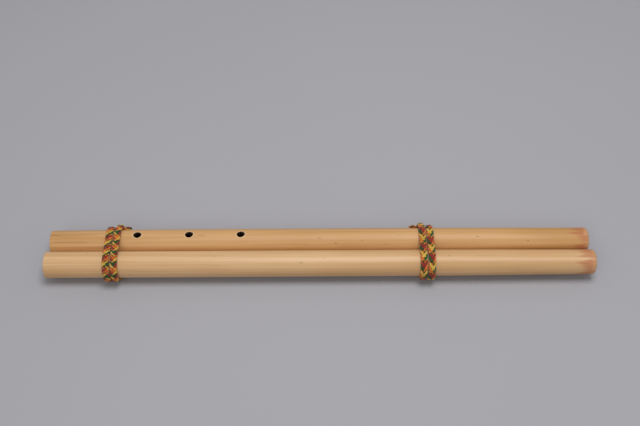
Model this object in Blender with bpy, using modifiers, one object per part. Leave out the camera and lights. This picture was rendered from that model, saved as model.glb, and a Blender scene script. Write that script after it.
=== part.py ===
"""Double nose flute: two bamboo pipes bound side by side by two braided cords.

Metres, +Z up. X runs along the pipes, with the blown heads at +X. The pipe with the finger holes is at +Y.
The origin is at the middle of the underside.
"""

import math

import bmesh
import bpy
from mathutils import Vector
from mathutils.kdtree import KDTree

MM = 0.001

# Pipes
DRONE_LENGTH = 520.0 * MM
DRONE_RADIUS = 12.5 * MM
DRONE_HEAD_RADIUS = 11.8 * MM
MELODY_LENGTH = 515.0 * MM
MELODY_RADIUS = 12.2 * MM
MELODY_HEAD_RADIUS = 11.9 * MM
MELODY_FOOT_SETBACK = 2.0 * MM
BORE_RADIUS = 9.0 * MM
HEAD_TAPER_LENGTH = 140.0 * MM
HEAD_ROUNDING = 2.6 * MM
FOOT_EDGE = 0.4 * MM
PIPE_SIDES = 64

# Head: septum, blow hole, wind chamber, block and window
SEPTUM = 5.0 * MM
BLOW_HOLE_RADIUS = 3.1 * MM
CHAMBER_LENGTH = 12.0 * MM
PLUG_LENGTH = 20.0 * MM
WINDWAY_HEIGHT = 1.5 * MM
WINDOW_WIDTH = 9.0 * MM
WINDOW_LENGTH = 7.0 * MM
LIP_RAMP_LENGTH = 9.0 * MM
LIP_THICKNESS = 0.5 * MM

# Finger holes in the top of the melody pipe
FINGER_HOLE_COUNT = 3
FIRST_HOLE_FROM_FOOT = 83.3 * MM
HOLE_SPACING = 49.4 * MM
HOLE_ALONG = 7.0 * MM
HOLE_ACROSS = 6.2 * MM

# Cord bindings
CORD_WIDTH = 6.6 * MM
CORD_THICKNESS = 3.6 * MM
TUCKED_WIDTH = 5.0 * MM
TUCKED_THICKNESS = 2.4 * MM
WRAP_GAP = 0.85 * MM
TUCK_GAP = 0.85 * MM
FOOT_BINDING_FROM_FOOT = 63.0 * MM
HEAD_BINDING_FROM_FOOT = 361.0 * MM
SEAT_SHARE = 0.1

# Fits
CLEARANCE = 0.3 * MM
CUTTER_OVERSHOOT = 2.0 * MM

# A wrap's stations: the back arc, the top run, the front arc and the bottom run
ARC_STEPS = 10
RUN_STEPS = 2
TURN_STEPS = 2 * (ARC_STEPS + RUN_STEPS)
ARC_STEP = math.pi / ARC_STEPS
FACET_ALLOWANCE = DRONE_RADIUS * (1.0 / math.cos(ARC_STEP / 2.0) - 1.0)
CORD_CLEARANCE = CLEARANCE + FACET_ALLOWANCE

LIFT = CORD_THICKNESS * (1.0 - SEAT_SHARE) + CORD_CLEARANCE
AXIS_SPACING = DRONE_RADIUS + MELODY_RADIUS + CLEARANCE
FRONT_REACH = DRONE_RADIUS + CORD_CLEARANCE + CORD_THICKNESS
BACK_REACH = MELODY_RADIUS + CORD_CLEARANCE + TUCKED_THICKNESS + TUCK_GAP + CORD_THICKNESS
DRONE_Y = (FRONT_REACH - BACK_REACH - AXIS_SPACING) / 2.0
MELODY_Y = DRONE_Y + AXIS_SPACING
DRONE_Z = LIFT + DRONE_RADIUS
MELODY_Z = LIFT + MELODY_RADIUS
FOOT_X = -DRONE_LENGTH / 2.0
MELODY_FOOT_X = FOOT_X + MELODY_FOOT_SETBACK
MELODY_HEAD_X = MELODY_FOOT_X + MELODY_LENGTH
DRONE_HEAD_X = FOOT_X + DRONE_LENGTH

parts = None
cutters = None


def clear_scene():
    for obj in list(bpy.data.objects):
        bpy.data.objects.remove(obj, do_unlink=True)


def new_collection(name):
    collection = bpy.data.collections.new(name)
    bpy.context.scene.collection.children.link(collection)
    return collection


def principled(name, colour, roughness):
    material = bpy.data.materials.new(name)
    material.use_nodes = True
    shader = material.node_tree.nodes["Principled BSDF"]
    shader.inputs["Base Color"].default_value = (*colour, 1.0)
    shader.inputs["Roughness"].default_value = roughness
    shader.inputs["Metallic"].default_value = 0.0
    return material


def add_object(name, mesh, collection, material=None):
    obj = bpy.data.objects.new(name, mesh)
    collection.objects.link(obj)
    if material:
        mesh.materials.append(material)
        mesh.shade_smooth()
        mesh.set_sharp_from_angle(angle=math.radians(30))
    return obj


def add_cutter(name, mesh):
    obj = add_object(name, mesh, cutters)
    obj.hide_render = True
    obj.display_type = "WIRE"
    return obj


def cut(obj, cutter):
    modifier = obj.modifiers.new(cutter.name, "BOOLEAN")
    modifier.operation = "DIFFERENCE"
    modifier.solver = "EXACT"
    modifier.object = cutter


def cylinder_mesh(name, radius, length, sides):
    """A solid cylinder about Z, centred on the origin."""
    bm = bmesh.new()
    bmesh.ops.create_cone(bm, cap_ends=True, segments=sides, radius1=radius, radius2=radius, depth=length)
    mesh = bpy.data.meshes.new(name)
    bm.to_mesh(mesh)
    bm.free()
    return mesh


def block_mesh(name, size):
    """A box centred on the origin."""
    bm = bmesh.new()
    bmesh.ops.create_cube(bm, size=1.0)
    bmesh.ops.scale(bm, vec=size, verts=bm.verts)
    mesh = bpy.data.meshes.new(name)
    bm.to_mesh(mesh)
    bm.free()
    return mesh


def pipe_profile(length, radius, head_radius):
    """Radius and place along the pipe, from the blow hole round the outside, the foot and the bore."""
    points = [(BLOW_HOLE_RADIUS, length)]
    rounding_steps = 4
    for step in range(rounding_steps + 1):
        turn = math.pi / 2.0 * step / rounding_steps
        points.append(
            (
                head_radius - HEAD_ROUNDING * (1.0 - math.sin(turn)),
                length - HEAD_ROUNDING * (1.0 - math.cos(turn)),
            )
        )
    points.append((radius, length - HEAD_TAPER_LENGTH))
    points.append((radius, FOOT_EDGE))
    points.append((radius - FOOT_EDGE, 0.0))
    points.append((BORE_RADIUS, 0.0))
    points.append((BORE_RADIUS, length - SEPTUM))
    points.append((BLOW_HOLE_RADIUS, length - SEPTUM))
    return points


def turned_pipe(name, foot, length, radius, head_radius, material):
    """A bamboo pipe: its profile turned about its own axis, then laid along X with its foot at the given point."""
    profile = pipe_profile(length, radius, head_radius)
    mesh = bpy.data.meshes.new(name)
    edges = [(i, (i + 1) % len(profile)) for i in range(len(profile))]
    mesh.from_pydata([(r, 0.0, along) for r, along in profile], edges, [])
    obj = bpy.data.objects.new(name, mesh)
    parts.objects.link(obj)
    mesh.materials.append(material)
    obj.rotation_euler = (0.0, math.pi / 2.0, 0.0)
    obj.location = foot
    screw = obj.modifiers.new("turned", "SCREW")
    screw.axis = "Z"
    screw.angle = 2.0 * math.pi
    screw.steps = PIPE_SIDES
    screw.render_steps = PIPE_SIDES
    screw.use_merge_vertices = True
    screw.merge_threshold = 0.00001
    screw.use_smooth_shade = True
    return obj


def finger_holes(pipe):
    """Oval holes burnt through the top wall, longer along the pipe than across."""
    for index in range(FINGER_HOLE_COUNT):
        mesh = cylinder_mesh("finger_hole_cut", 0.5, MELODY_RADIUS + CUTTER_OVERSHOOT, 24)
        for vert in mesh.vertices:
            vert.co.x *= HOLE_ALONG
            vert.co.y *= HOLE_ACROSS
        cutter = add_cutter(f"finger_hole_cut_{index + 1}", mesh)
        x = MELODY_FOOT_X + FIRST_HOLE_FROM_FOOT + index * HOLE_SPACING
        cutter.location = (x, MELODY_Y, MELODY_Z + (MELODY_RADIUS + CUTTER_OVERSHOOT) / 2.0)
        cut(pipe, cutter)


def window(pipe, name, head_x, y, z, radius):
    """The sound window in the underside: a square cut at the block's end and a ramp that thins the lip."""
    plug_end = head_x - SEPTUM - CHAMBER_LENGTH - PLUG_LENGTH
    depth = radius + CUTTER_OVERSHOOT
    opening = add_cutter(f"{name}_window_cut", block_mesh("window_cut", (WINDOW_LENGTH, WINDOW_WIDTH, depth)))
    opening.location = (plug_end - WINDOW_LENGTH / 2.0, y, z - depth / 2.0)
    cut(pipe, opening)
    rise = radius - BORE_RADIUS - LIP_THICKNESS
    size = (LIP_RAMP_LENGTH + CUTTER_OVERSHOOT, WINDOW_WIDTH, rise + CUTTER_OVERSHOOT)
    mesh = block_mesh("lip_ramp_cut", size)
    for vert in mesh.vertices:
        vert.co.x -= size[0] / 2.0
        vert.co.z -= size[2] / 2.0
    ramp = add_cutter(f"{name}_lip_ramp_cut", mesh)
    ramp.location = (plug_end - WINDOW_LENGTH + CLEARANCE, y, z - BORE_RADIUS - LIP_THICKNESS)
    ramp.rotation_euler = (0.0, -math.atan2(rise, LIP_RAMP_LENGTH), 0.0)
    cut(pipe, ramp)


def plug(name, head_x, y, z, material):
    """The wooden block: a round plug with a flat underneath, which leaves the windway."""
    mesh = cylinder_mesh(name, BORE_RADIUS - CLEARANCE, PLUG_LENGTH, PIPE_SIDES)
    obj = add_object(name, mesh, parts, material)
    obj.rotation_euler = (0.0, math.pi / 2.0, 0.0)
    centre = head_x - SEPTUM - CHAMBER_LENGTH - PLUG_LENGTH / 2.0
    obj.location = (centre, y, z)
    flat_depth = BORE_RADIUS
    size = (PLUG_LENGTH + CUTTER_OVERSHOOT, 2.0 * BORE_RADIUS + CUTTER_OVERSHOOT, flat_depth)
    flat = add_cutter(f"{name}_windway_cut", block_mesh("windway_cut", size))
    flat.location = (centre, y, z - BORE_RADIUS + WINDWAY_HEIGHT - flat_depth / 2.0)
    cut(obj, flat)
    return obj


def smooth_step(value):
    value = min(max(value, 0.0), 1.0)
    return value * value * (3.0 - 2.0 * value)


def hull_point(station, height):
    """A point at a height over the hull round both pipes, and the way out of it. Whole stations are 24 a turn."""
    place = station % TURN_STEPS
    slope = math.asin((DRONE_RADIUS - MELODY_RADIUS) / AXIS_SPACING)
    if place <= ARC_STEPS:
        angle = -math.pi / 2.0 + (math.pi + slope) * place / ARC_STEPS
        centre, radius = (MELODY_Y, MELODY_Z), MELODY_RADIUS
    elif place < ARC_STEPS + RUN_STEPS:
        share = (place - ARC_STEPS) / RUN_STEPS
        angle = math.pi / 2.0 + slope
        centre = (
            MELODY_Y + share * (DRONE_Y - MELODY_Y),
            MELODY_Z + share * (DRONE_Z - MELODY_Z),
        )
        radius = MELODY_RADIUS + share * (DRONE_RADIUS - MELODY_RADIUS)
    elif place <= 2 * ARC_STEPS + RUN_STEPS:
        share = (place - ARC_STEPS - RUN_STEPS) / ARC_STEPS
        angle = math.pi / 2.0 + slope + (math.pi - slope) * share
        centre, radius = (DRONE_Y, DRONE_Z), DRONE_RADIUS
    else:
        share = (place - 2 * ARC_STEPS - RUN_STEPS) / RUN_STEPS
        angle = 3.0 * math.pi / 2.0
        centre = (
            DRONE_Y + share * (MELODY_Y - DRONE_Y),
            DRONE_Z + share * (MELODY_Z - DRONE_Z),
        )
        radius = DRONE_RADIUS + share * (MELODY_RADIUS - DRONE_RADIUS)
    out = Vector((0.0, math.cos(angle), math.sin(angle)))
    return Vector((0.0, *centre)) + out * (radius + height), out


def binding_route():
    """The cord as (station, x, height, width, thickness) from one tucked end to the other.

    Both ends pass under the second wrap on the back of the melody pipe.
    """
    pitch = CORD_WIDTH + WRAP_GAP
    bend = TUCKED_WIDTH * 0.85
    per_station = (MELODY_RADIUS + CORD_CLEARANCE + TUCKED_THICKNESS / 2.0) * ARC_STEP
    tucked_height = CORD_CLEARANCE + TUCKED_THICKNESS / 2.0
    wrap_height = CORD_CLEARANCE + CORD_THICKNESS / 2.0
    lifted = TUCKED_THICKNESS + TUCK_GAP
    upper, lower = 5.0, 3.45
    route = []

    def tucked(station, x):
        route.append((station, x, tucked_height, TUCKED_WIDTH, TUCKED_THICKNESS))

    def corner(station, centre_x, turn, side, sign):
        """A quarter bend in the surface, from along the wrap to across it."""
        angle = math.radians(turn)
        x = centre_x + side * bend * math.cos(angle)
        tucked(station + sign * bend * (1.0 - math.sin(angle)) / per_station, x)

    route.append((7.2, 2.0 * pitch + TUCKED_WIDTH * 0.1, tucked_height, TUCKED_WIDTH, TUCKED_THICKNESS))
    for turn in (0, 30, 60, 90):
        corner(upper, 2.0 * pitch - bend, turn, 1.0, 1.0)
    tucked(upper, pitch)
    for turn in (90, 60, 30, 0):
        corner(upper, bend, turn, -1.0, 1.0)

    for station in range(7, TURN_STEPS * 2 + 2):
        turn = station / TURN_STEPS
        shift = sum(smooth_step((station - TURN_STEPS * k + 4.5) / 7.5) for k in (1, 2))
        settle = smooth_step((station - 6.0) / 2.5)
        height = tucked_height + (wrap_height - tucked_height) * settle
        width = TUCKED_WIDTH + (CORD_WIDTH - TUCKED_WIDTH) * settle
        thickness = TUCKED_THICKNESS + (CORD_THICKNESS - TUCKED_THICKNESS) * settle
        place = station - TURN_STEPS
        rise = smooth_step((place - 1.2) / 1.6) * (1.0 - smooth_step((place - 5.7) / 1.8))
        height += lifted * rise
        if turn > 2.0 - 1.0 / TURN_STEPS:
            ease = smooth_step((TURN_STEPS * 2 + 2.4 - station) / 3.0)
            height = tucked_height + (wrap_height - tucked_height) * ease
            width = TUCKED_WIDTH + (CORD_WIDTH - TUCKED_WIDTH) * ease
            thickness = TUCKED_THICKNESS + (CORD_THICKNESS - TUCKED_THICKNESS) * ease
        route.append((station, shift * pitch, height, width, thickness))

    base = TURN_STEPS * 2 + lower
    for turn in (0, 30, 60, 90):
        corner(base, 2.0 * pitch - bend, turn, 1.0, -1.0)
    tucked(base, pitch)
    for turn in (90, 60, 30, 0):
        corner(base, bend * 0.8, turn, -1.0, -1.0)
    return route


def cord_rings(centre_x, side):
    """The cord's rings of six points. side mirrors it along X."""
    pitch = CORD_WIDTH + WRAP_GAP
    route = binding_route()
    centres = []
    outs = []
    for station, x, height, _, _ in route:
        point, out = hull_point(station, height)
        centres.append(Vector((centre_x + side * (x - pitch / 2.0), point.y, point.z)))
        outs.append(out)
    rings = []
    for i, (_, _, _, width, thickness) in enumerate(route):
        ahead = centres[min(i + 1, len(centres) - 1)] - centres[max(i - 1, 0)]
        across = ahead.cross(outs[i]).normalized()
        out = across.cross(ahead).normalized()
        ring = []
        for w, t in ((0.5, 0.0), (0.27, 0.5), (-0.27, 0.5), (-0.5, 0.0), (-0.27, -0.5), (0.27, -0.5)):
            corner = centres[i] + across * (w * width) + out * (t * thickness)
            corner.z = max(corner.z, 0.0)
            ring.append(corner)
        rings.append(ring)
    return centres, rings


def least_gap_to_itself(centres, rings):
    """The least distance between points of the cord's surface that lie well apart along it."""
    samples = []
    along = 0.0
    for i in range(len(rings) - 1):
        step = (centres[i + 1] - centres[i]).length
        for part in range(3):
            share = part / 3.0
            ring = [a.lerp(b, share) for a, b in zip(rings[i], rings[i + 1])]
            for k, corner in enumerate(ring):
                for inner in (0.0, 0.25, 0.5, 0.75):
                    samples.append((corner.lerp(ring[(k + 1) % 6], inner), along + step * share))
        along += step
    tree = KDTree(len(samples))
    for index, (point, _) in enumerate(samples):
        tree.insert(point, index)
    tree.balance()
    least = 1.0
    for point, place in samples:
        for _, other, distance in tree.find_range(point, 2.0 * MM):
            if abs(samples[other][1] - place) > 4.0 * CORD_WIDTH:
                least = min(least, distance)
    return least, along


def binding(name, centre_x, side, material):
    """One unbroken cord, lofted through its rings because its section flattens where it is tucked."""
    centres, rings = cord_rings(centre_x, side)
    bm = bmesh.new()
    verts = [[bm.verts.new(corner) for corner in ring] for ring in rings]
    for near, far in zip(verts, verts[1:]):
        for k in range(6):
            bm.faces.new((near[k], near[(k + 1) % 6], far[(k + 1) % 6], far[k]))
    bm.faces.new(verts[0])
    bm.faces.new(verts[-1])
    bmesh.ops.recalc_face_normals(bm, faces=bm.faces)
    mesh = bpy.data.meshes.new(name)
    bm.to_mesh(mesh)
    bm.free()
    gap, length = least_gap_to_itself(centres, rings)
    print(f"{name}: {length / MM:.0f} mm of cord, least gap to itself {gap / MM:.2f} mm")
    return add_object(name, mesh, parts, material)


def main():
    global parts, cutters
    clear_scene()
    parts = new_collection("double_nose_flute")
    cutters = new_collection("cutters")
    bamboo = principled("bamboo_melody", (0.56, 0.35, 0.17), 0.45)
    pale_bamboo = principled("bamboo_drone", (0.62, 0.42, 0.24), 0.45)
    block_wood = principled("block_wood", (0.42, 0.27, 0.14), 0.7)
    foot_yarn = principled("foot_cord", (0.35, 0.16, 0.03), 0.9)
    head_yarn = principled("head_cord", (0.38, 0.15, 0.03), 0.9)

    drone = turned_pipe(
        "drone_tube", (FOOT_X, DRONE_Y, DRONE_Z), DRONE_LENGTH, DRONE_RADIUS, DRONE_HEAD_RADIUS, pale_bamboo
    )
    window(drone, "drone", DRONE_HEAD_X, DRONE_Y, DRONE_Z, DRONE_RADIUS)
    melody = turned_pipe(
        "melody_tube",
        (MELODY_FOOT_X, MELODY_Y, MELODY_Z),
        MELODY_LENGTH,
        MELODY_RADIUS,
        MELODY_HEAD_RADIUS,
        bamboo,
    )
    window(melody, "melody", MELODY_HEAD_X, MELODY_Y, MELODY_Z, MELODY_RADIUS)
    finger_holes(melody)

    plug("drone_plug", DRONE_HEAD_X, DRONE_Y, DRONE_Z, block_wood)
    plug("melody_plug", MELODY_HEAD_X, MELODY_Y, MELODY_Z, block_wood)

    binding("foot_binding", FOOT_X + FOOT_BINDING_FROM_FOOT, 1.0, foot_yarn)
    binding("head_binding", FOOT_X + HEAD_BINDING_FROM_FOOT, -1.0, head_yarn)


main()
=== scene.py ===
"""The looks of the double nose flute: scraped bamboo pipes, wooden blocks and braided cord bindings.

Metres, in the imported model's frame: X along the pipes with the heads at +X, the melody pipe at +Y, Z up.
"""

import math
import random
from collections import namedtuple

import bmesh
import bpy
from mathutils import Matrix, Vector, noise


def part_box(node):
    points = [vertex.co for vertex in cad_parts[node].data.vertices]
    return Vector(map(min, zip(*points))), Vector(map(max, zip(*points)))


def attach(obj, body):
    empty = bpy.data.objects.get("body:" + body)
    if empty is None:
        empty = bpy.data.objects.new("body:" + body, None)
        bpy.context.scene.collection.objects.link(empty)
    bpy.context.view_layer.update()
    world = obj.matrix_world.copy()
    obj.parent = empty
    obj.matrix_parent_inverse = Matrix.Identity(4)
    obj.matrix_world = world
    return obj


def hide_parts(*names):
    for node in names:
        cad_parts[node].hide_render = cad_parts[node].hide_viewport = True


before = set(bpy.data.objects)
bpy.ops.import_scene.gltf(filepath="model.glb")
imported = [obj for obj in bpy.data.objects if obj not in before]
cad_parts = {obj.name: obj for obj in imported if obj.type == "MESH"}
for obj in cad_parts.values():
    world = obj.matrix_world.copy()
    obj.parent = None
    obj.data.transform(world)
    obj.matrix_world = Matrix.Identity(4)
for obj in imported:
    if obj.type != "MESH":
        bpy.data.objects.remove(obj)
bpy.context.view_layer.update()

MM = 0.001

Pipe = namedtuple("Pipe", "y z foot head radius")
Mark = namedtuple("Mark", "x reach y width strength")
Knot = namedtuple("Knot", "centre out full")
Sample = namedtuple("Sample", "centre across out full along")
Weave = namedtuple("Weave", "repeat shift face_turn seed")

# Camera, for a picture 640 pixels wide
IMAGE_WIDTH = 640
FOCAL_LENGTH = 50.0
SENSOR_WIDTH = 36.0
CAMERA_PITCH = math.radians(55.0)
CAMERA_ROLL = math.radians(0.34)
CAMERA_DISTANCE = 0.844
DRONE_AXIS_BELOW_CENTRE = 50.3

# Light and floor
WORLD_STRENGTH = 0.36
KEY_LIGHT = {"place": (0.15, 0.0, 1.5), "size": 0.6, "power": 12.0}
FILL_LIGHT = {"place": (-0.5, -1.2, 1.3), "size": 0.8, "power": 4.0}
FLOOR_HALF = 4.0

# Pipes
BORE_RADIUS = 9.0 * MM
SEPTUM = 5.0 * MM
BLOW_HOLE_RADIUS = 3.1 * MM
BLOW_HOLE_MOUTH = ((0.1 * MM, 1.2 * MM), (0.6 * MM, 0.3 * MM), (1.5 * MM, 0.0))
HEAD_ROUNDING = 3.0 * MM
HEAD_ROUNDING_STEPS = 8
FOOT_ROUNDING = 0.5 * MM
FOOT_ROUNDING_STEPS = 4
PIPE_SIDES = 144
PIPE_STEP = 4.0 * MM
WAVE_HEIGHT = 0.1 * MM
WAVE_ALONG = 9.0
WAVE_ROUND = 0.9
CREASE_ANGLE = math.radians(32)

# The melody pipe is slimmer at both ends, bowed up in the middle, ridged and cracked at the foot
MELODY_END_SLIMMING = 0.45 * MM
MELODY_FOOT_TAPER = 110.0 * MM
MELODY_HEAD_TAPER_START = 120.0 * MM
MELODY_HEAD_TAPER = 130.0 * MM
BOW_HEIGHT = 0.45 * MM
BOW_MIDDLE = 30.0 * MM
BOW_LENGTH = 580.0 * MM
RIDGE_HEIGHT = 0.13 * MM
RIDGES_ROUND = 13.0
RIDGE_TURN = 1.3
RIDGES_END_FROM_FOOT = 45.0 * MM
RIDGES_FADE = 30.0 * MM
CRACK_LENGTH = 14.0 * MM
CRACK_WIDTH = 0.5 * MM
CRACK_OFFSET = 1.1 * MM
DRONE_HEAD_SLIMMING = 0.7 * MM
DRONE_TAPER_START = 90.0 * MM
DRONE_TAPER = 170.0 * MM
CUT_MARGIN = 1.0 * MM
MELODY_SEED = 3.0
DRONE_SEED = 11.0

# Finger holes
HOLE_COUNT = 3
HOLES_FROM_FOOT = 83.3 * MM
HOLE_SPACING = 49.4 * MM
HOLE_ALONG = 7.2 * MM
HOLE_ACROSS = 6.2 * MM
HOLE_LEAN = 0.9 * MM
HOLE_START = 4.0 * MM
HOLE_SIDES = 40
HOLE_FLARE = 1.14
HOLE_WOBBLE = 0.03
HOLE_WOBBLES_ROUND = 3.0
HOLE_WOBBLE_TURN = 900.0
FLARE_DEPTHS = (1.2 * MM, 0.2 * MM)
HOLE_RISE = 4.0 * MM

# Windows, underneath
PLUG_END_FROM_HEAD = 37.0 * MM
WINDOW_LENGTH = 7.0 * MM
WINDOW_WIDTH = 9.0 * MM
WINDOW_MARGIN = 3.0 * MM
LIP_INSET = 0.3 * MM
LIP_THICKNESS = 0.5 * MM
LIP_RAMP_LENGTH = 9.0 * MM
LIP_RAMP_RUN_OUT = 4.0 * MM

# Bamboo skin: how strongly each colour and each painted shade shows, and the stain's reach
FIBRE_DARKNESS = 0.32
SPECK_DARKNESS = 0.5
MARK_SOLID_ALONG = 0.6
MARK_SOLID_ACROSS = 0.3
RIM_WEAR = 0.55
GRAIN_STRENGTH = 0.85
# Painted shade inside the bore
BORE_SHADE_STRENGTH = 0.85
HOLE_RIM_PALENESS = 0.75
# Painted shade on the finger holes' walls
HOLE_SHADE_STRENGTH = 0.96
STAIN_LENGTH = 17.0 * MM
STAIN_FADE = 8.0 * MM
STAIN_RAGGEDNESS = 55.0 * MM
STAIN_FINENESS = 20.0 * MM

# Cord bindings: the CAD's route, with the braid's own thickness
FOOT_BINDING_FROM_FOOT = 63.0 * MM
HEAD_BINDING_FROM_FOOT = 361.0 * MM
CORD_WIDTH = 6.6 * MM
CORD_THICKNESS = 3.9 * MM
TUCKED_WIDTH = 5.0 * MM
TUCKED_THICKNESS = 2.6 * MM
WRAP_GAP = 0.85 * MM
WRAP_PITCH = CORD_WIDTH + WRAP_GAP
CLEARANCE = 0.3 * MM
ROUTE_THICKNESS = 3.6 * MM
TUCKED_ROUTE_THICKNESS = 2.4 * MM
WRAP_HEIGHT = CLEARANCE + ROUTE_THICKNESS / 2.0
TUCKED_HEIGHT = CLEARANCE + TUCKED_ROUTE_THICKNESS / 2.0
WRAP_LIFT = 1.9 * MM
BEND_SHARE = 0.85
TUCK_BEND = TUCKED_WIDTH * BEND_SHARE
END_BEND_SHARE = 0.8
TAIL_SHARE = 0.1
TAIL_OVERHANG = TUCKED_WIDTH * TAIL_SHARE
CORNER_DEGREES = (0, 30, 60, 90)

# Stations along the route, 24 a turn: a turn starts under the melody pipe and goes up its rear.
# The cord swells out of its tucked start, shifts a lane underneath at the end of each turn,
# lifts over the tucked ends in the second turn and shrinks into its tucked end.
ARC_STEPS = 10
RUN_STEPS = 2
TURN_STEPS = 2 * (ARC_STEPS + RUN_STEPS)
WRAPS = 2
START_TAIL = 7.2
START_TUCK = 5.0
END_TUCK = 3.45
FIRST_STATION = 7
LAST_STATION = TURN_STEPS * WRAPS + 1
SHIFT_LEAD = 4.5
SHIFT_STEPS = 7.5
SWELL_START = 6.0
SWELL_STEPS = 2.5
SHRINK_END = 2.4
SHRINK_STEPS = 3.0
LIFT_START = 1.2
LIFT_STEPS = 1.6
DROP_START = 5.7
DROP_STEPS = 1.8

# Braid: four strands wind each way, each of two yarns
STRANDS_EACH_WAY = 4
YARN_LANES = (-0.5, 0.5)
YARN_SPREAD = 0.30
YARN_RADIUS = 0.68 * MM
TUCKED_YARN_SHARE = 0.86
YARN_SIDES = 6
YARN_WIDENING = math.sqrt(1.6)
EDGE_INSET = 1.15
FACE_INSET = 1.25
LEAST_HALF_THICKNESS = 0.35
WEAVE_LIFT = 0.42
EDGE_LIFT_SHARE = 0.6
SWAY_DEPTHS = (0.08, 0.14)
SWAY_PHASES = (0.0, 6.0)
SWAY_RATE = 1400.0
SWAY_OUT_SHARE = 0.5
BRAID_STEP = 0.55 * MM
CURVE_STEPS = 12
TUFT_LENGTH = 4.5 * MM
TUFT_FLARE = 0.9
FLOOR_GAP = 0.15 * MM
FOOT_REPEAT = 11.6 * MM
HEAD_REPEAT = 19.0 * MM
HEAD_COLOUR_SHIFT = 2
HEAD_ROLL = 0.25
HEAD_ROLL_RATE = 60.0

# Where along the foot cord, as shares of its length, the braid rolls over
BACK_ROLL_START = 0.19
BACK_ROLL_SHARE = 0.11
FRONT_ROLL_START = 0.36
FRONT_ROLL_SHARE = 0.17


def srgb(red, green, blue):
    """An 8-bit colour as linear RGBA."""
    values = []
    for value in (red, green, blue):
        value /= 255.0
        values.append(value / 12.92 if value <= 0.04045 else ((value + 0.055) / 1.055) ** 2.4)
    return (*values, 1.0)


MELODY_PALE = srgb(214, 166, 112)
MELODY_DEEP = srgb(196, 146, 88)
DRONE_PALE = srgb(222, 182, 136)
DRONE_DEEP = srgb(206, 162, 112)
FIBRE_BROWN = srgb(150, 104, 60)
SPECK_BROWN = srgb(120, 78, 42)
SCRATCH_BROWN = srgb(92, 58, 30)
STAIN_RED = srgb(182, 108, 70)
RIM_TAN = srgb(216, 170, 124)
GRAIN_PALE = srgb(212, 176, 128)
GRAIN_DARK = srgb(104, 66, 38)
# Painted shade inside the bore
BORE_SHADE_BROWN = srgb(84, 56, 34)
HOLE_RIM_PALE = srgb(232, 200, 160)
# Painted shade on the finger holes' walls
HOLE_SHADE_BLACK = srgb(26, 17, 12)
BLOCK_PALE = srgb(186, 144, 98)
BLOCK_DEEP = srgb(140, 98, 60)
FLOOR_DARK = srgb(170, 169, 174)
FLOOR_LIGHT = srgb(173, 172, 177)
YARNS = (
    ("green_yarn", srgb(38, 92, 40), srgb(14, 42, 18)),
    ("yellow_yarn", srgb(228, 192, 84), srgb(176, 132, 36)),
    ("orange_yarn", srgb(228, 128, 50), srgb(168, 78, 22)),
    ("red_yarn", srgb(172, 56, 40), srgb(100, 24, 20)),
)


def pipe_place(node):
    """Centre line, ends and radius of a CAD pipe."""
    low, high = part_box(node)
    radius = (high[1] - low[1]) / 2.0
    return Pipe((low[1] + high[1]) / 2.0, (low[2] + high[2]) / 2.0, low[0], high[0], radius)


DRONE = pipe_place("drone_tube")
MELODY = pipe_place("melody_tube")
HOLE_XS = [MELODY.foot + HOLES_FROM_FOOT + i * HOLE_SPACING for i in range(HOLE_COUNT)]

# Fine dark lines and dots on the skin: middle x, half length, y, width and strength
MELODY_MARKS = (
    Mark(MELODY.foot + 24.0 * MM, 26.0 * MM, MELODY.y + CRACK_OFFSET, 0.35 * MM, 0.6),
    Mark(MELODY.foot + 20.0 * MM, 20.0 * MM, MELODY.y - 6.0 * MM, 0.5 * MM, 0.35),
    Mark(HOLE_XS[1] + 11.5 * MM, 4.5 * MM, MELODY.y - 0.2 * MM, 0.4 * MM, 0.6),
    Mark(0.0, 45.0 * MM, MELODY.y + 3.0 * MM, 0.3 * MM, 0.3),
    Mark(150.0 * MM, 2.0 * MM, MELODY.y - 3.5 * MM, 0.6 * MM, 0.5),
    Mark(-1.0 * MM, 2.0 * MM, MELODY.y - 4.0 * MM, 0.6 * MM, 0.5),
)
DRONE_MARKS = (Mark(-18.0 * MM, 2.0 * MM, DRONE.y - 6.0 * MM, 0.6 * MM, 0.4),)


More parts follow.
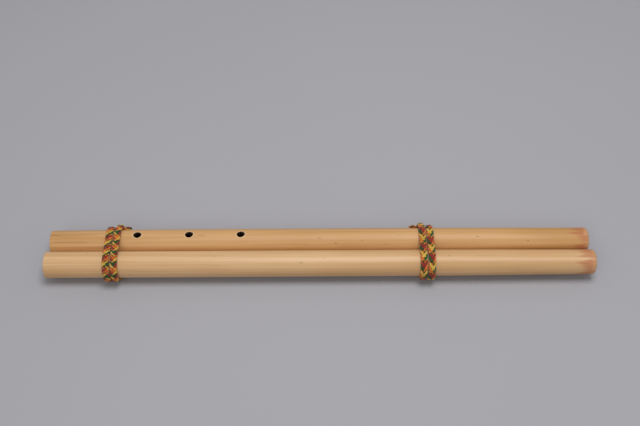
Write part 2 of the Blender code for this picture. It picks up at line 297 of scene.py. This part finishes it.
class Nodes:
    """A short way to build a node material."""

    def __init__(self, name):
        self.material = bpy.data.materials.new(name)
        self.material.use_nodes = True
        self.tree = self.material.node_tree
        self.shader = self.tree.nodes["Principled BSDF"]

    def add(self, kind, **settings):
        node = self.tree.nodes.new(kind)
        for key, value in settings.items():
            setattr(node, key, value)
        return node

    def link(self, output, target):
        if isinstance(output, (int, float, tuple)):
            target.default_value = output
        else:
            self.tree.links.new(output, target)

    def set(self, socket, value):
        self.link(value, self.shader.inputs[socket])

    def math(self, operation, a, b=0.0, clamp=False):
        node = self.add("ShaderNodeMath", operation=operation, use_clamp=clamp)
        self.link(a, node.inputs[0])
        self.link(b, node.inputs[1])
        return node.outputs[0]

    def plus(self, a, b):
        return self.math("ADD", a, b)

    def minus(self, a, b):
        return self.math("SUBTRACT", a, b)

    def times(self, a, b, clamp=False):
        return self.math("MULTIPLY", a, b, clamp)

    def scaled(self, value, gain, base):
        """The value times a gain, added to a base."""
        return self.plus(self.times(value, gain), base)

    def apart(self, a, b):
        """How far two values lie apart."""
        return self.math("ABSOLUTE", self.minus(a, b))

    def mostly(self, a, b, share=0.6):
        """Two values added, the first with the larger share."""
        return self.plus(self.times(a, share), self.times(b, 1.0 - share))

    def rise(self, value, low, high):
        """0 at low, 1 at high, smooth between."""
        node = self.add("ShaderNodeMapRange", interpolation_type="SMOOTHSTEP")
        self.link(value, node.inputs["Value"])
        node.inputs["From Min"].default_value = low
        node.inputs["From Max"].default_value = high
        return node.outputs["Result"]

    def fall(self, value, low, high):
        """1 at low, 0 at high, smooth between."""
        return self.minus(1.0, self.rise(value, low, high))

    def mix(self, factor, a, b):
        node = self.add("ShaderNodeMix", data_type="RGBA")
        self.link(factor, node.inputs["Factor"])
        self.link(a, node.inputs["A"])
        self.link(b, node.inputs["B"])
        return node.outputs["Result"]

    def place(self):
        return self.add("ShaderNodeTexCoord").outputs["Object"]

    def split(self, vector):
        node = self.add("ShaderNodeSeparateXYZ")
        self.link(vector, node.inputs[0])
        return node.outputs

    def stretched(self, vector, stretch):
        node = self.add("ShaderNodeMapping")
        self.link(vector, node.inputs["Vector"])
        node.inputs["Scale"].default_value = stretch
        return node.outputs["Vector"]

    def noise(self, vector, scale, along=1.0, detail=3.0, roughness=0.5):
        """Noise drawn out along X where along is under 1."""
        node = self.add("ShaderNodeTexNoise")
        self.link(self.stretched(vector, (along, 1.0, 1.0)), node.inputs["Vector"])
        node.inputs["Scale"].default_value = scale
        node.inputs["Detail"].default_value = detail
        node.inputs["Roughness"].default_value = roughness
        return node.outputs["Fac"]

    def bump(self, height, strength, distance):
        node = self.add("ShaderNodeBump")
        self.link(height, node.inputs["Height"])
        node.inputs["Strength"].default_value = strength
        node.inputs["Distance"].default_value = distance
        self.set("Normal", node.outputs["Normal"])


class Bamboo(Nodes):
    """Scraped bamboo: fibres along X, fine marks, a stained head and end grain on the cuts."""

    def __init__(self, name, pipe):
        super().__init__(name)
        self.pipe = pipe
        self.spot = self.place()
        self.x, self.y, self.z = self.split(self.spot)
        self.fibres = self.noise(self.spot, scale=900.0, along=0.02, detail=4.0, roughness=0.6)
        self.streaks = self.noise(self.spot, scale=260.0, along=0.012, detail=3.0, roughness=0.55)
        self.clouds = self.noise(self.spot, scale=22.0, along=0.35, detail=2.0)

    def fibre_colour(self, pale, deep):
        tone = self.rise(self.mostly(self.streaks, self.clouds), low=0.36, high=0.64)
        colour = self.mix(tone, pale, deep)
        dark_fibres = self.times(self.rise(self.fibres, low=0.52, high=0.78), FIBRE_DARKNESS)
        colour = self.mix(dark_fibres, colour, FIBRE_BROWN)
        specks = self.noise(self.spot, scale=330.0, along=0.5, detail=1.0)
        dark_specks = self.times(self.rise(specks, low=0.765, high=0.80), SPECK_DARKNESS)
        return self.mix(dark_specks, colour, SPECK_BROWN)

    def marked(self, colour, mark):
        """A fine dark line along X on the upper side."""
        along = self.fall(self.apart(self.x, mark.x), low=mark.reach * MARK_SOLID_ALONG, high=mark.reach)
        across = self.fall(self.apart(self.y, mark.y), low=mark.width * MARK_SOLID_ACROSS, high=mark.width)
        above = self.rise(self.z, low=self.pipe.z, high=self.pipe.z + 2.0 * MM)
        dark = self.times(self.times(along, across), self.times(above, mark.strength))
        return self.mix(dark, colour, SCRATCH_BROWN)

    def stained(self, colour):
        """The reddish stain at the head, ragged along the fibres, and the worn rim at its end."""
        head = self.pipe.head
        ragged = self.times(self.minus(self.streaks, 0.5), STAIN_RAGGEDNESS)
        fine = self.times(self.minus(self.fibres, 0.5), STAIN_FINENESS)
        edge = self.plus(self.plus(self.x, ragged), fine)
        stain = self.rise(edge, low=head - STAIN_LENGTH, high=head - STAIN_LENGTH + STAIN_FADE)
        solid = self.rise(self.x, low=head - 30.0 * MM, high=head - 10.0 * MM)
        stain = self.times(stain, self.scaled(solid, gain=0.42, base=0.28), clamp=True)
        stain = self.times(stain, self.scaled(self.fibres, gain=0.9, base=0.5), clamp=True)
        colour = self.mix(stain, colour, STAIN_RED)
        near_rim = self.rise(self.plus(self.x, fine), low=head - 4.8 * MM, high=head - 2.6 * MM)
        worn = self.times(near_rim, self.rise(self.clouds, low=0.30, high=0.50))
        return self.mix(self.times(worn, RIM_WEAR), colour, RIM_TAN)

    def end_grained(self, colour):
        """Fibre bundles as dots on the faces that look along X, at both ends."""
        geometry = self.add("ShaderNodeNewGeometry")
        facing = self.math("ABSOLUTE", self.split(geometry.outputs["Normal"])[0])
        at_head = self.rise(self.x, low=self.pipe.head - 4.5 * MM, high=self.pipe.head - 2.0 * MM)
        at_foot = self.fall(self.x, low=self.pipe.foot + 0.5 * MM, high=self.pipe.foot + 3.0 * MM)
        cut = self.times(self.rise(facing, low=0.30, high=0.75), self.math("MAXIMUM", at_head, at_foot))
        bundles = self.add("ShaderNodeTexVoronoi")
        self.link(self.stretched(self.spot, (0.25, 1.0, 1.0)), bundles.inputs["Vector"])
        bundles.inputs["Scale"].default_value = 1150.0
        dots = self.fall(bundles.outputs["Distance"], low=0.22, high=0.42)
        grain = self.mix(dots, GRAIN_PALE, GRAIN_DARK)
        return self.mix(self.times(cut, GRAIN_STRENGTH), colour, grain)

    def shade_bore(self, colour):
        """Painted shade: darker within the bore's radius of the centre line, from end to end, which also
        darkens the septum's outer face at the head.
        """
        sideways = self.math("POWER", self.minus(self.y, self.pipe.y), 2.0)
        upwards = self.math("POWER", self.minus(self.z, self.pipe.z), 2.0)
        from_axis = self.math("SQRT", self.plus(sideways, upwards))
        inside = self.fall(from_axis, low=BORE_RADIUS + 0.2 * MM, high=BORE_RADIUS + 1.2 * MM)
        return self.mix(self.times(inside, BORE_SHADE_STRENGTH), colour, BORE_SHADE_BROWN)

    def holed(self, colour, hole_x):
        """A pale rim at a finger hole, and painted shade that darkens its wall nearly to black."""
        oval = HOLE_ALONG / HOLE_ACROSS
        half = HOLE_ALONG / 2.0
        flat = self.add("ShaderNodeCombineXYZ")
        self.link(self.x, flat.inputs[0])
        self.link(self.times(self.y, oval), flat.inputs[1])
        distance = self.add("ShaderNodeVectorMath", operation="DISTANCE")
        self.link(flat.outputs[0], distance.inputs[0])
        distance.inputs[1].default_value = (hole_x, (self.pipe.y + HOLE_LEAN) * oval, 0.0)
        gap = distance.outputs["Value"]
        upper = self.rise(self.z, low=self.pipe.z + 4.0 * MM, high=self.pipe.z + 6.0 * MM)
        rim = self.times(self.fall(gap, low=half + 0.4 * MM, high=half + 1.7 * MM), upper)
        colour = self.mix(self.times(rim, HOLE_RIM_PALENESS), colour, HOLE_RIM_PALE)
        # Painted shade: the hole's wall darkened nearly to black
        wall_shade = self.times(self.fall(gap, low=half + 0.1 * MM, high=half + 0.4 * MM), upper)
        return self.mix(self.times(wall_shade, HOLE_SHADE_STRENGTH), colour, HOLE_SHADE_BLACK)

    def finished(self, colour):
        self.set("Base Color", colour)
        self.set("Roughness", self.scaled(self.streaks, gain=0.25, base=0.38))
        self.set("Specular IOR Level", 0.4)
        self.set("Coat Weight", 0.06)
        self.set("Coat Roughness", 0.35)
        grooves = self.plus(self.fibres, self.times(self.streaks, 1.5))
        self.bump(grooves, strength=0.35, distance=0.35 * MM)
        return self.material


def bamboo_material(name, pipe, pale, deep, marks, hole_xs=()):
    skin = Bamboo(name, pipe)
    colour = skin.fibre_colour(pale, deep)
    for mark in marks:
        colour = skin.marked(colour, mark)
    colour = skin.stained(colour)
    colour = skin.end_grained(colour)
    # Painted shade inside the bore
    colour = skin.shade_bore(colour)
    for hole_x in hole_xs:
        colour = skin.holed(colour, hole_x)
    return skin.finished(colour)


def yarn_material(name, colour, dark):
    """Fuzzy wool with darker patches."""
    n = Nodes(name)
    place = n.place()
    fuzz = n.noise(place, scale=2600.0, roughness=0.7)
    patches = n.noise(place, scale=420.0, detail=2.0)
    shade = n.rise(n.mostly(fuzz, patches), low=0.36, high=0.62)
    n.set("Base Color", n.mix(shade, dark, colour))
    n.set("Roughness", 0.85)
    n.set("Sheen Weight", 0.25)
    n.set("Sheen Roughness", 0.5)
    n.set("Specular IOR Level", 0.25)
    n.bump(fuzz, strength=0.6, distance=0.3 * MM)
    return n.material


def block_material():
    """Whittled softwood with its grain along X."""
    n = Nodes("whittled_block")
    place = n.place()
    grain = n.noise(place, scale=500.0, along=0.06, detail=4.0, roughness=0.6)
    rings = n.noise(place, scale=120.0, along=0.1, detail=2.0)
    shade = n.rise(n.mostly(grain, rings), low=0.38, high=0.62)
    n.set("Base Color", n.mix(shade, BLOCK_PALE, BLOCK_DEEP))
    n.set("Roughness", 0.72)
    n.bump(grain, strength=0.4, distance=0.4 * MM)
    return n.material


def floor_material():
    """Plain pale grey paper."""
    n = Nodes("pale_grey_floor")
    tone = n.noise(n.place(), scale=3.0, detail=1.0)
    n.set("Base Color", n.mix(tone, FLOOR_DARK, FLOOR_LIGHT))
    n.set("Roughness", 0.9)
    n.set("Specular IOR Level", 0.1)
    return n.material


def eased(value):
    """0 up to 0, 1 from 1, smooth between."""
    value = min(max(value, 0.0), 1.0)
    return value * value * (3.0 - 2.0 * value)


def between(a, b, share):
    return a + share * (b - a)


def new_object(name, vertices, faces, materials=(), face_materials=None):
    mesh = bpy.data.meshes.new(name)
    mesh.from_pydata(vertices, [], faces)
    for material in materials:
        mesh.materials.append(material)
    if face_materials:
        mesh.polygons.foreach_set("material_index", face_materials)
    mesh.shade_smooth()
    obj = bpy.data.objects.new(name, mesh)
    bpy.context.scene.collection.objects.link(obj)
    return obj


def dress(obj, node):
    """The piece stands for a CAD node of the one body."""
    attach(obj, "root")
    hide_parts(node)


def face_outwards(mesh):
    bm = bmesh.new()
    bm.from_mesh(mesh)
    bmesh.ops.recalc_face_normals(bm, faces=bm.faces)
    bm.to_mesh(mesh)
    bm.free()


def pipe_rings(pipe, radius_at):
    """(x, radius, is outside) of each ring: outside from foot to head, round the rim, back down the bore."""
    rings = []
    for step in range(FOOT_ROUNDING_STEPS + 1):
        turn = math.pi / 2.0 * step / FOOT_ROUNDING_STEPS
        x = pipe.foot + FOOT_ROUNDING * (1.0 - math.cos(turn))
        rings.append((x, radius_at(pipe.foot) - FOOT_ROUNDING * (1.0 - math.sin(turn)), True))
    start = pipe.foot + 2.0 * FOOT_ROUNDING
    end = pipe.head - HEAD_ROUNDING
    steps = int((end - start) / PIPE_STEP)
    for step in range(steps + 1):
        x = between(start, end, step / steps)
        rings.append((x, radius_at(x), True))
    for step in range(1, HEAD_ROUNDING_STEPS + 1):
        turn = math.pi / 2.0 * step / HEAD_ROUNDING_STEPS
        x = pipe.head - HEAD_ROUNDING * (1.0 - math.sin(turn))
        rings.append((x, radius_at(x) - HEAD_ROUNDING * (1.0 - math.cos(turn)), True))
    for depth, wider in BLOW_HOLE_MOUTH:
        rings.append((pipe.head - depth, BLOW_HOLE_RADIUS + wider, False))
    rings.append((pipe.head - SEPTUM, BLOW_HOLE_RADIUS, False))
    rings.append((pipe.head - SEPTUM, BORE_RADIUS, False))
    rings.append((pipe.foot, BORE_RADIUS, False))
    return rings


def box_object(name, low, high):
    x0, y0, z0 = low
    x1, y1, z1 = high
    vertices = [(x, y, z) for x in (x0, x1) for y in (y0, y1) for z in (z0, z1)]
    faces = [(0, 1, 3, 2), (4, 6, 7, 5), (0, 4, 5, 1), (2, 3, 7, 6), (0, 2, 6, 4), (1, 5, 7, 3)]
    return new_object(name, vertices, faces)


def prism_object(name, outline, y, width):
    """A prism whose outline is in the XZ plane."""
    count = len(outline)
    vertices = [(x, y - width / 2.0, z) for x, z in outline]
    vertices += [(x, y + width / 2.0, z) for x, z in outline]
    faces = [tuple(range(count)), tuple(range(2 * count - 1, count - 1, -1))]
    faces += [(k, k + count, (k + 1) % count + count, (k + 1) % count) for k in range(count)]
    return new_object(name, vertices, faces)


def finger_hole_cutter(x):
    """An upright, slightly irregular oval with a flared mouth."""
    y = MELODY.y + HOLE_LEAN
    top = MELODY.z + MELODY.radius
    levels = (
        (MELODY.z + HOLE_START, 1.0),
        (top - FLARE_DEPTHS[0], 1.0),
        (top - FLARE_DEPTHS[1], HOLE_FLARE),
        (top + HOLE_RISE, HOLE_FLARE),
    )
    vertices = []
    for z, share in levels:
        for k in range(HOLE_SIDES):
            turn = 2.0 * math.pi * k / HOLE_SIDES
            wobble = math.sin(HOLE_WOBBLES_ROUND * turn + x * HOLE_WOBBLE_TURN)
            reach = share * (1.0 + HOLE_WOBBLE * wobble)
            along = math.cos(turn) * reach * HOLE_ALONG / 2.0
            across = math.sin(turn) * reach * HOLE_ACROSS / 2.0
            vertices.append((x + along, y + across, z))
    last = HOLE_SIDES * (len(levels) - 1)
    faces = [tuple(range(HOLE_SIDES - 1, -1, -1)), tuple(range(last, last + HOLE_SIDES))]
    for level in range(len(levels) - 1):
        for k in range(HOLE_SIDES):
            a = level * HOLE_SIDES + k
            b = level * HOLE_SIDES + (k + 1) % HOLE_SIDES
            faces.append((a, b, b + HOLE_SIDES, a + HOLE_SIDES))
    return new_object("finger_hole_cutter", vertices, faces)


def crack_cutter():
    """A thin wedge, deepest at the foot."""
    top = MELODY.z + MELODY.radius + CUT_MARGIN
    outline = [
        (MELODY.foot - CUT_MARGIN, top),
        (MELODY.foot - CUT_MARGIN, MELODY.z + BORE_RADIUS - CUT_MARGIN),
        (MELODY.foot + CRACK_LENGTH, top),
    ]
    return prism_object("crack_cutter", outline, MELODY.y + CRACK_OFFSET, CRACK_WIDTH)


def carve(piece, cutter):
    """Cuts and applies a Boolean, then drops the cutter."""
    face_outwards(cutter.data)
    modifier = piece.modifiers.new("carve", "BOOLEAN")
    modifier.operation = "DIFFERENCE"
    modifier.solver = "EXACT"
    modifier.object = cutter
    bpy.context.view_layer.update()
    evaluated = piece.evaluated_get(bpy.context.evaluated_depsgraph_get())
    carved = bpy.data.meshes.new_from_object(evaluated)
    piece.modifiers.clear()
    piece.data = carved
    bpy.data.objects.remove(cutter, do_unlink=True)


def carve_window(piece, pipe):
    """The sound window underneath, next to the block, and the ramp outside its lip."""
    end = pipe.head - PLUG_END_FROM_HEAD
    start = end - WINDOW_LENGTH
    half = WINDOW_WIDTH / 2.0
    low = pipe.z - pipe.radius - WINDOW_MARGIN
    carve(piece, box_object("window_cutter", (start, pipe.y - half, low), (end, pipe.y + half, pipe.z)))
    lip = start + LIP_INSET
    outline = [
        (lip, pipe.z - BORE_RADIUS - LIP_THICKNESS),
        (lip, low),
        (lip - LIP_RAMP_LENGTH - LIP_RAMP_RUN_OUT, low),
        (lip - LIP_RAMP_LENGTH, pipe.z - pipe.radius),
    ]
    carve(piece, prism_object("lip_cutter", outline, pipe.y, WINDOW_WIDTH))


def make_pipe(name, pipe, material, radius_at, bow_at, ridge_at, seed):
    """A bamboo pipe with its own slight bow, uneven skin and ridges."""
    rings = pipe_rings(pipe, radius_at)
    vertices = []
    for x, radius, outside in rings:
        for k in range(PIPE_SIDES):
            turn = 2.0 * math.pi * k / PIPE_SIDES
            side, up = math.cos(turn), math.sin(turn)
            reach = radius
            if outside:
                wave = noise.noise(Vector((x * WAVE_ALONG + seed, side * WAVE_ROUND, up * WAVE_ROUND)))
                reach += WAVE_HEIGHT * wave + ridge_at(x, turn)
            vertices.append((x, pipe.y + reach * side, pipe.z + bow_at(x) + reach * up))
    faces = []
    for ring in range(len(rings)):
        here = ring * PIPE_SIDES
        there = (ring + 1) % len(rings) * PIPE_SIDES
        for k in range(PIPE_SIDES):
            following = (k + 1) % PIPE_SIDES
            faces.append((here + k, here + following, there + following, there + k))
    piece = new_object(name, vertices, faces, [material])
    face_outwards(piece.data)
    carve_window(piece, pipe)
    return piece


def shade_pipe(piece):
    piece.data.shade_smooth()
    piece.data.set_sharp_from_angle(angle=CREASE_ANGLE)


def melody_radius(x):
    at_foot = 1.0 - eased((x - MELODY.foot) / MELODY_FOOT_TAPER)
    at_head = eased((x - MELODY_HEAD_TAPER_START) / MELODY_HEAD_TAPER)
    return MELODY.radius - MELODY_END_SLIMMING * at_foot - MELODY_END_SLIMMING * at_head


def melody_bow(x):
    return BOW_HEIGHT * math.cos(math.pi * (x - BOW_MIDDLE) / BOW_LENGTH)


def melody_ridge(x, turn):
    """Long shallow ridges near the foot, left by the knife."""
    near_foot = 1.0 - eased((x - MELODY.foot - RIDGES_END_FROM_FOOT) / RIDGES_FADE)
    return near_foot * RIDGE_HEIGHT * math.sin(turn * RIDGES_ROUND + RIDGE_TURN)


def drone_radius(x):
    return DRONE.radius - DRONE_HEAD_SLIMMING * eased((x - DRONE_TAPER_START) / DRONE_TAPER)


def straight(x):
    return 0.0


def smooth(x, turn):
    return 0.0


def hull_point(station, height):
    """A point at a height over the hull round both pipes, and the way out of it, as in the CAD."""
    place = station % TURN_STEPS
    slope = math.asin((DRONE.radius - MELODY.radius) / (MELODY.y - DRONE.y))
    if place <= ARC_STEPS:
        first = last = MELODY
        share = 0.0
        angle = -math.pi / 2.0 + (math.pi + slope) * place / ARC_STEPS
    elif place < ARC_STEPS + RUN_STEPS:
        first, last = MELODY, DRONE
        share = (place - ARC_STEPS) / RUN_STEPS
        angle = math.pi / 2.0 + slope
    elif place <= 2 * ARC_STEPS + RUN_STEPS:
        first = last = DRONE
        share = 0.0
        angle = math.pi / 2.0 + slope + (math.pi - slope) * (place - ARC_STEPS - RUN_STEPS) / ARC_STEPS
    else:
        first, last = DRONE, MELODY
        share = (place - 2 * ARC_STEPS - RUN_STEPS) / RUN_STEPS
        angle = 3.0 * math.pi / 2.0
    centre = Vector((0.0, between(first.y, last.y, share), between(first.z, last.z, share)))
    out = Vector((0.0, math.cos(angle), math.sin(angle)))
    return centre + out * (between(first.radius, last.radius, share) + height), out


def tuck(station, sign, last_bend):
    """A tucked stretch: a bend out of the third lane, a run under the wraps and a bend into the first."""
    per_station = (MELODY.radius + TUCKED_HEIGHT) * math.pi / ARC_STEPS
    far_lane = WRAPS * WRAP_PITCH

    def corner(turn, centre_x, reach):
        angle = math.radians(turn)
        drop = sign * TUCK_BEND * (1.0 - math.sin(angle)) / per_station
        return station + drop, centre_x + reach * math.cos(angle), TUCKED_HEIGHT, 0.0

    stretch = [corner(turn, far_lane - TUCK_BEND, TUCK_BEND) for turn in CORNER_DEGREES]
    stretch.append((station, WRAP_PITCH, TUCKED_HEIGHT, 0.0))
    stretch += [corner(turn, last_bend, -TUCK_BEND) for turn in reversed(CORNER_DEGREES)]
    return stretch


def binding_route():
    """The cord as (station, x, height, how full it is), from one tucked end to the other.

    It is the CAD's route, but the wrap over the tucked ends lies closer to the pipe, because yarn gives.
    """
    route = [(START_TAIL, WRAPS * WRAP_PITCH + TAIL_OVERHANG, TUCKED_HEIGHT, 0.0)]
    route += tuck(START_TUCK, sign=1.0, last_bend=TUCK_BEND)
    for station in range(FIRST_STATION, LAST_STATION + 1):
        shift = 0.0
        for turn in range(1, WRAPS + 1):
            shift += eased((station - TURN_STEPS * turn + SHIFT_LEAD) / SHIFT_STEPS)
        swell = eased((station - SWELL_START) / SWELL_STEPS)
        shrink = eased((TURN_STEPS * WRAPS + SHRINK_END - station) / SHRINK_STEPS)
        full = swell * shrink
        past_first_turn = station - TURN_STEPS
        lifted = eased((past_first_turn - LIFT_START) / LIFT_STEPS)
        dropped = eased((past_first_turn - DROP_START) / DROP_STEPS)
        height = between(TUCKED_HEIGHT, WRAP_HEIGHT, full) + WRAP_LIFT * lifted * (1.0 - dropped)
        route.append((station, shift * WRAP_PITCH, height, full))
    route += tuck(TURN_STEPS * WRAPS + END_TUCK, sign=-1.0, last_bend=TUCK_BEND * END_BEND_SHARE)
    return route


def curved(knots):
    """Close points on a smooth curve through the knots."""
    points = []
    for i in range(len(knots) - 1):
        before, here = knots[max(i - 1, 0)].centre, knots[i].centre
        there, after = knots[i + 1].centre, knots[min(i + 2, len(knots) - 1)].centre
        for step in range(CURVE_STEPS):
            t = step / CURVE_STEPS
            centre = 0.5 * (
                2.0 * here
                + (there - before) * t
                + (2.0 * before - 5.0 * here + 4.0 * there - after) * t * t
                + (3.0 * here - before - 3.0 * there + after) * t * t * t
            )
            out = knots[i].out.lerp(knots[i + 1].out, t).normalized()
            points.append(Knot(centre, out, between(knots[i].full, knots[i + 1].full, t)))
    points.append(knots[-1])
    return points


def evenly_spaced(points):
    """The same curve in even steps, each with its distance along it, and the curve's length."""
    steps = [(points[0], 0.0)]
    travelled = 0.0
    due = BRAID_STEP
    for near, far in zip(points, points[1:]):
        length = (far.centre - near.centre).length
        while length > 0.0 and travelled + length >= due:
            t = (due - travelled) / length
            centre = near.centre.lerp(far.centre, t)
            out = near.out.lerp(far.out, t).normalized()
            steps.append((Knot(centre, out, between(near.full, far.full, t)), due))
            due += BRAID_STEP
        travelled += length
    return steps, travelled


def cord_samples(centre_x, side):
    """The cord's centre, its own across and out directions and its fullness, in even steps."""
    knots = []
    for station, x, height, full in binding_route():
        point, out = hull_point(station, height)
        point.x = centre_x + side * (x - WRAP_PITCH / 2.0)
        knots.append(Knot(point, out, full))
    steps, length = evenly_spaced(curved(knots))
    samples = []
    for i, (knot, along) in enumerate(steps):
        ahead = steps[min(i + 1, len(steps) - 1)][0].centre - steps[max(i - 1, 0)][0].centre
        across = ahead.cross(knot.out).normalized()
        out = across.cross(ahead).normalized()
        samples.append(Sample(knot.centre, across, out, knot.full, along))
    return samples, length


def yarn_ring(sample, length, way, start, weave, phase, depth):
    """One ring of a yarn, which goes round the braid's flat section and over and under its neighbours."""
    angle = way * (start - 2.0 * math.pi * sample.along / weave.repeat)
    over = 2.0 * way * math.sin(angle) * abs(math.cos(angle))
    seen = angle + weave.face_turn(sample.along, length)
    radius = YARN_RADIUS * between(TUCKED_YARN_SHARE, 1.0, sample.full)
    half_width = between(TUCKED_WIDTH, CORD_WIDTH, sample.full) / 2.0 - radius * EDGE_INSET
    half_thickness = between(TUCKED_THICKNESS, CORD_THICKNESS, sample.full) / 2.0 - radius * FACE_INSET
    half_thickness = max(half_thickness, radius * LEAST_HALF_THICKNESS)
    from_end = min(sample.along, length - sample.along)
    flare = 1.0 + TUFT_FLARE * max(0.0, 1.0 - from_end / TUFT_LENGTH) ** 2
    lift = WEAVE_LIFT * radius * over
    sway = depth * radius * math.sin(sample.along * SWAY_RATE + phase)
    sideways = math.sin(seen) * (half_width + lift * EDGE_LIFT_SHARE) * flare + sway
    outwards = math.cos(seen) * (half_thickness * flare + lift) + sway * SWAY_OUT_SHARE
    middle = sample.centre + sample.across * sideways + sample.out * outwards
    ring = []
    for k in range(YARN_SIDES):
        turn = 2.0 * math.pi * k / YARN_SIDES
        corner = middle + sample.across * (math.cos(turn) * radius * YARN_WIDENING)
        corner += sample.out * (math.sin(turn) * radius)
        corner.z = max(corner.z, FLOOR_GAP)
        ring.append(corner)
    return ring


def yarn_faces(first, rings):
    """The faces of a closed tube whose vertices start at first."""
    faces = []
    for ring in range(rings - 1):
        for k in range(YARN_SIDES):
            a = first + ring * YARN_SIDES + k
            b = first + ring * YARN_SIDES + (k + 1) % YARN_SIDES
            faces.append((a, b, b + YARN_SIDES, a + YARN_SIDES))
    last = first + (rings - 1) * YARN_SIDES
    faces.append(tuple(first + k for k in range(YARN_SIDES - 1, -1, -1)))
    faces.append(tuple(last + k for k in range(YARN_SIDES)))
    return faces


def make_braid(name, centre_x, side, materials, weave):
    """A flattened braid of eight strands, four each way, over two and under two, each of two yarns."""
    rng = random.Random(weave.seed)
    samples, length = cord_samples(centre_x, side)
    yarn_count = 2 * STRANDS_EACH_WAY * len(YARN_LANES)
    sways = [(rng.uniform(*SWAY_PHASES), rng.uniform(*SWAY_DEPTHS)) for _ in range(yarn_count)]
    vertices, faces, face_materials = [], [], []
    for way in (1.0, -1.0):
        for strand in range(STRANDS_EACH_WAY):
            colour = strand if way > 0.0 else (weave.shift - strand) % STRANDS_EACH_WAY
            for lane in YARN_LANES:
                phase, depth = sways.pop(0)
                start = 2.0 * math.pi * (strand + YARN_SPREAD * lane) / STRANDS_EACH_WAY
                tube = yarn_faces(len(vertices), len(samples))
                for sample in samples:
                    vertices += yarn_ring(sample, length, way, start, weave, phase, depth)
                faces += tube
                face_materials += [colour] * len(tube)
    return new_object(name, vertices, faces, materials, face_materials)


def foot_face(along, length):
    """The first wrap shows the braid's side and then its back, the second its chevron face."""
    share = along / length
    to_back = eased((share - BACK_ROLL_START) / BACK_ROLL_SHARE)
    to_front = eased((share - FRONT_ROLL_START) / FRONT_ROLL_SHARE)
    return math.pi * (0.5 + 0.5 * to_back + to_front)


def head_face(along, length):
    """Both wraps show the chevron face, rolled a little one way and the other."""
    return HEAD_ROLL * math.sin(along * HEAD_ROLL_RATE)


def make_camera():
    """Looks down at the pipes from the drone's side, square to them."""
    data = bpy.data.cameras.new("camera")
    data.lens = FOCAL_LENGTH
    data.sensor_width = SENSOR_WIDTH
    data.sensor_fit = "HORIZONTAL"
    camera = bpy.data.objects.new("camera", data)
    bpy.context.scene.collection.objects.link(camera)
    forward = Vector((0.0, math.cos(CAMERA_PITCH), -math.sin(CAMERA_PITCH)))
    up = Vector((0.0, math.sin(CAMERA_PITCH), math.cos(CAMERA_PITCH)))
    focal_pixels = FOCAL_LENGTH / SENSOR_WIDTH * IMAGE_WIDTH
    drop = DRONE_AXIS_BELOW_CENTRE * CAMERA_DISTANCE / focal_pixels
    target = Vector((0.0, DRONE.y, DRONE.z))
    camera.location = target - forward * CAMERA_DISTANCE + up * drop
    turn = forward.to_track_quat("-Z", "Y").to_euler()
    turn.rotate_axis("Z", -CAMERA_ROLL)
    camera.rotation_euler = turn
    bpy.context.scene.camera = camera


def make_area_light(name, place, size, power):
    data = bpy.data.lights.new(name, "AREA")
    data.shape = "SQUARE"
    data.size = size
    data.energy = power
    light = bpy.data.objects.new(name, data)
    light.location = place
    light.rotation_euler = (-Vector(place)).to_track_quat("-Z", "Y").to_euler()
    bpy.context.scene.collection.objects.link(light)


def make_light():
    world = bpy.data.worlds.new("studio")
    world.use_nodes = True
    background = world.node_tree.nodes["Background"]
    background.inputs["Color"].default_value = (1.0, 1.0, 1.0, 1.0)
    background.inputs["Strength"].default_value = WORLD_STRENGTH
    bpy.context.scene.world = world
    make_area_light("overhead", **KEY_LIGHT)
    make_area_light("front_fill", **FILL_LIGHT)


def make_floor():
    corners = ((-1, -1), (1, -1), (1, 1), (-1, 1))
    vertices = [(x * FLOOR_HALF, y * FLOOR_HALF, 0.0) for x, y in corners]
    floor = new_object("floor", vertices, [(0, 1, 2, 3)], [floor_material()])


def make_melody():
    skin = bamboo_material("melody_bamboo", MELODY, MELODY_PALE, MELODY_DEEP, MELODY_MARKS, HOLE_XS)
    piece = make_pipe("melody_pipe", MELODY, skin, melody_radius, melody_bow, melody_ridge, MELODY_SEED)
    for x in HOLE_XS:
        carve(piece, finger_hole_cutter(x))
    carve(piece, crack_cutter())
    shade_pipe(piece)
    dress(piece, "melody_tube")


def make_drone():
    skin = bamboo_material("drone_bamboo", DRONE, DRONE_PALE, DRONE_DEEP, DRONE_MARKS)
    piece = make_pipe("drone_pipe", DRONE, skin, drone_radius, straight, smooth, DRONE_SEED)
    shade_pipe(piece)
    dress(piece, "drone_tube")


def dress_plugs():
    """The CAD's own blocks, in whittled wood."""
    block = block_material()
    for node in ("melody_plug", "drone_plug"):
        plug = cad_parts[node]
        plug.data.materials.clear()
        plug.data.materials.append(block)


def make_bindings():
    yarns = [yarn_material(*yarn) for yarn in YARNS]
    foot_weave = Weave(repeat=FOOT_REPEAT, shift=0, face_turn=foot_face, seed=5)
    head_weave = Weave(repeat=HEAD_REPEAT, shift=HEAD_COLOUR_SHIFT, face_turn=head_face, seed=9)
    foot_braid = make_braid("foot_braid", DRONE.foot + FOOT_BINDING_FROM_FOOT, 1.0, yarns, foot_weave)
    dress(foot_braid, "foot_binding")
    head_braid = make_braid("head_braid", DRONE.foot + HEAD_BINDING_FROM_FOOT, -1.0, yarns, head_weave)
    dress(head_braid, "head_binding")


bpy.context.scene.view_settings.view_transform = "Standard"
make_camera()
make_light()
make_floor()
make_melody()
make_drone()
dress_plugs()
make_bindings()
